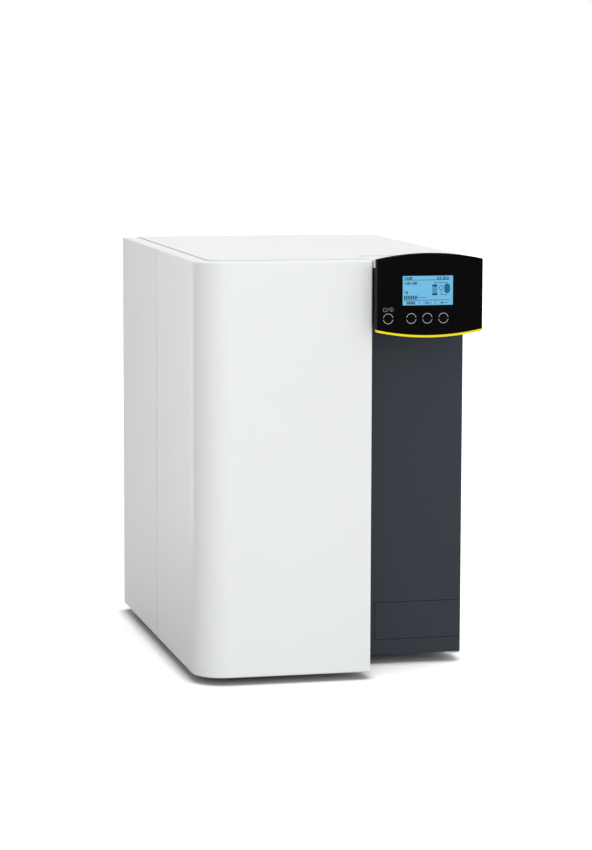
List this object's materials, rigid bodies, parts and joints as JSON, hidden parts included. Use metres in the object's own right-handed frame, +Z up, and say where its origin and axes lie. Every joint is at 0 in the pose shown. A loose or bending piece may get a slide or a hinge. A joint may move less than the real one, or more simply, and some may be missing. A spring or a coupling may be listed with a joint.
{
  "type": "benchtop reverse osmosis system",
  "caption": "Tall bench cabinet that purifies water: white wrap-around door over cartridges, dark recessed column, and an overhanging control head with screen and keys.",
  "frame": {"origin": "on the bench, under the middle of the cabinet's outer box", "axes": "+X to the user's right, +Y to the back, +Z up; the door and the control face look to -Y"},
  "size_m": [0.348, 0.526, 0.5122],
  "materials": {
    "white_panel": "fine textured moulded panel, satin",
    "anthracite_panel": "fine textured moulded panel, satin",
    "gloss_black": "polished front",
    "accent_yellow": "gloss trim",
    "screen_blue": "lit screen",
    "key_black": "satin key caps",
    "sheet_steel": "zinc plated sheet",
    "pin_steel": "ground pins and strike plates",
    "magnet_grey": "moulded magnet holders",
    "rubber_black": "moulded feet",
    "board_green": "circuit board",
    "tray_grey": "moulded tray",
    "cartridge_white": "moulded vessels",
    "cap_blue": "moulded caps",
    "clip_grey": "spring clips",
    "membrane_ivory": "wound membrane",
    "fitting_white": "push-in fittings",
    "tube_clear": "translucent tubing",
    "pump_black": "moulded pump head and base",
    "motor_metal": "finned motor and supply cases",
    "valve_brass": "valve bodies",
    "socket_black": "mains inlet and switch"
  },
  "bodies": {
    "cabinet": {"left_rear_panel": "white_panel", "right_panel": "white_panel", "top_lid": "white_panel", "head_cover": "white_panel", "hinge_brackets": "white_panel", "partition": "anthracite_panel", "column_panel": "anthracite_panel", "blanking_plate": "anthracite_panel", "head_housing": "anthracite_panel", "head_face": "gloss_black", "accent_strip": "accent_yellow", "screen": "screen_blue", "base_pan": "sheet_steel", "rear_panel": "sheet_steel", "bulkhead": "sheet_steel", "hinge_pins": "pin_steel", "data_socket": "pin_steel", "key_domes": "pin_steel", "catch_magnets": "magnet_grey", "rubber_feet": "rubber_black", "screen_board": "board_green", "key_board": "board_green", "control_board": "board_green", "drip_tray": "tray_grey", "filter_cartridge": "cartridge_white", "vessel_tubes": "cartridge_white", "filter_cap": "cap_blue", "vessel_caps": "cap_blue", "filter_clips": "clip_grey", "vessel_clips": "clip_grey", "conductivity_cell": "clip_grey", "membranes": "membrane_ivory", "bulkhead_unions": "fitting_white", "permeate_tee": "fitting_white", "feed_port": "fitting_white", "permeate_port": "fitting_white", "drain_port": "fitting_white", "feed_tube": "tube_clear", "suction_tube": "tube_clear", "pressure_tube": "tube_clear", "vessel_link_tube": "tube_clear", "permeate_tube": "tube_clear", "concentrate_tube": "tube_clear", "pump_head": "pump_black", "pump_base": "pump_black", "leak_sensor": "pump_black", "pump_motor": "motor_metal", "power_supply": "motor_metal", "inlet_valve": "valve_brass", "flush_valve": "valve_brass", "pressure_switch": "valve_brass", "mains_inlet": "socket_black", "mains_switch": "socket_black"},
    "door": {"front_door": "white_panel", "strike_plates": "pin_steel"},
    "standby_button": {"standby_key": "key_black"},
    "left_button": {"soft_key_left": "key_black"},
    "middle_button": {"soft_key_middle": "key_black"},
    "right_button": {"soft_key_right": "key_black"},
    "rocker": {"mains_rocker": "socket_black"}
  },
  "joints": [
    {"name": "door_hinge", "type": "hinge", "parent": "cabinet", "child": "door", "pos_m": [-0.1716, 0.015, 0.256], "axis": [0, 0, -1], "range_deg": [0, 95]},
    {"name": "standby_press", "type": "slide", "parent": "cabinet", "child": "standby_button", "axis": [0, 1, 0], "range_m": [0, 0.0006], "stiffness_N_per_m": 400, "springref_m": -0.0005},
    {"name": "left_press", "type": "slide", "parent": "cabinet", "child": "left_button", "axis": [0, 1, 0], "range_m": [0, 0.0006], "stiffness_N_per_m": 400, "springref_m": -0.0005},
    {"name": "middle_press", "type": "slide", "parent": "cabinet", "child": "middle_button", "axis": [0, 1, 0], "range_m": [0, 0.0006], "stiffness_N_per_m": 400, "springref_m": -0.0005},
    {"name": "right_press", "type": "slide", "parent": "cabinet", "child": "right_button", "axis": [0, 1, 0], "range_m": [0, 0.0006], "stiffness_N_per_m": 400, "springref_m": -0.0005},
    {"name": "mains_rock", "type": "hinge", "parent": "cabinet", "child": "rocker", "pos_m": [0.112, 0.2279, 0.124], "axis": [1, 0, 0], "range_deg": [0, 16]}
  ]
}
